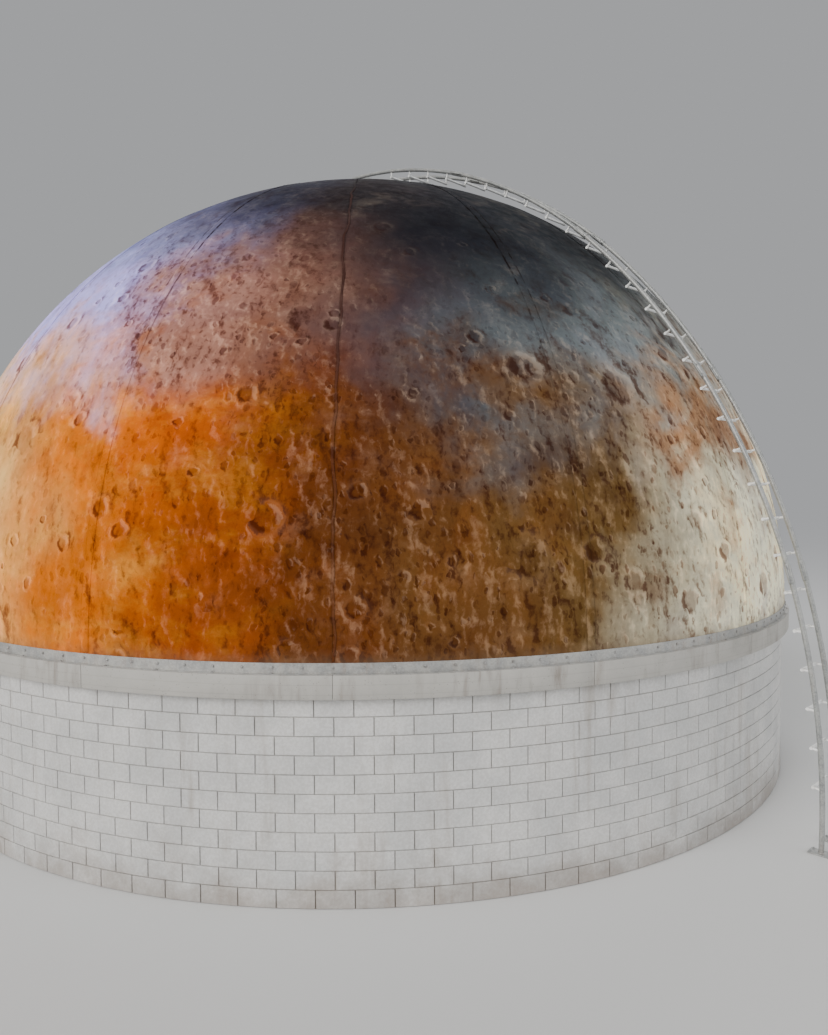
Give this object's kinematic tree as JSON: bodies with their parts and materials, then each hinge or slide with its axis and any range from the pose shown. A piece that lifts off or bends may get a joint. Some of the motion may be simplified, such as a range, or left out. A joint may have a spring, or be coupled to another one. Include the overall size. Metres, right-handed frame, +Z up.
{
  "type": "observatory dome",
  "caption": "Hollow hemispherical dome of painted gores on a low round base wall, with a curved service ladder from the ground to a post on the crown.",
  "frame": {"origin": "centre of the round base, at ground level", "axes": "+Z up; the pictured front faces -Y; the service ladder is between -Y and +X, and the door faces +Y"},
  "size_m": [14.12, 14.12, 9.8856],
  "materials": {
    "shell_paint": "painted shell, matt, mottled orange below and pale lilac grey above",
    "crown_paint": "painted shell, matt slate grey",
    "wall_paint": "painted masonry, matt",
    "beam_concrete": "painted concrete, matt",
    "door_paint": "satin paint on steel sheet",
    "door_frame_paint": "satin paint on steel",
    "ladder_steel": "dull galvanised and painted steel tube"
  },
  "bodies": {
    "root": {"shell_gore_01": "shell_paint", "shell_gore_02": "shell_paint", "shell_gore_03": "shell_paint", "shell_gore_04": "shell_paint", "shell_gore_05": "shell_paint", "shell_gore_06": "shell_paint", "shell_gore_07": "shell_paint", "shell_gore_08": "shell_paint", "shell_gore_09": "shell_paint", "shell_gore_10": "shell_paint", "shell_gore_11": "shell_paint", "shell_gore_12": "shell_paint", "shell_gore_13": "shell_paint", "shell_gore_14": "shell_paint", "shell_gore_15": "shell_paint", "shell_gore_16": "shell_paint", "crown_cap": "crown_paint", "base_wall_1": "wall_paint", "base_wall_2": "wall_paint", "base_wall_3": "wall_paint", "base_wall_4": "wall_paint", "base_wall_6": "wall_paint", "base_wall_7": "wall_paint", "base_wall_8": "wall_paint", "base_wall_door_left": "wall_paint", "base_wall_door_right": "wall_paint", "door_lintel": "beam_concrete", "ring_beam": "beam_concrete", "door_frame": "door_frame_paint", "door_leaf_left": "door_paint", "door_leaf_right": "door_paint", "crown_post": "ladder_steel", "ladder_section_1": "ladder_steel", "ladder_section_2": "ladder_steel", "ladder_section_3": "ladder_steel", "ladder_section_4": "ladder_steel", "ladder_section_5": "ladder_steel", "ladder_foot_left": "ladder_steel", "ladder_foot_right": "ladder_steel"}
  },
  "joints": []
}
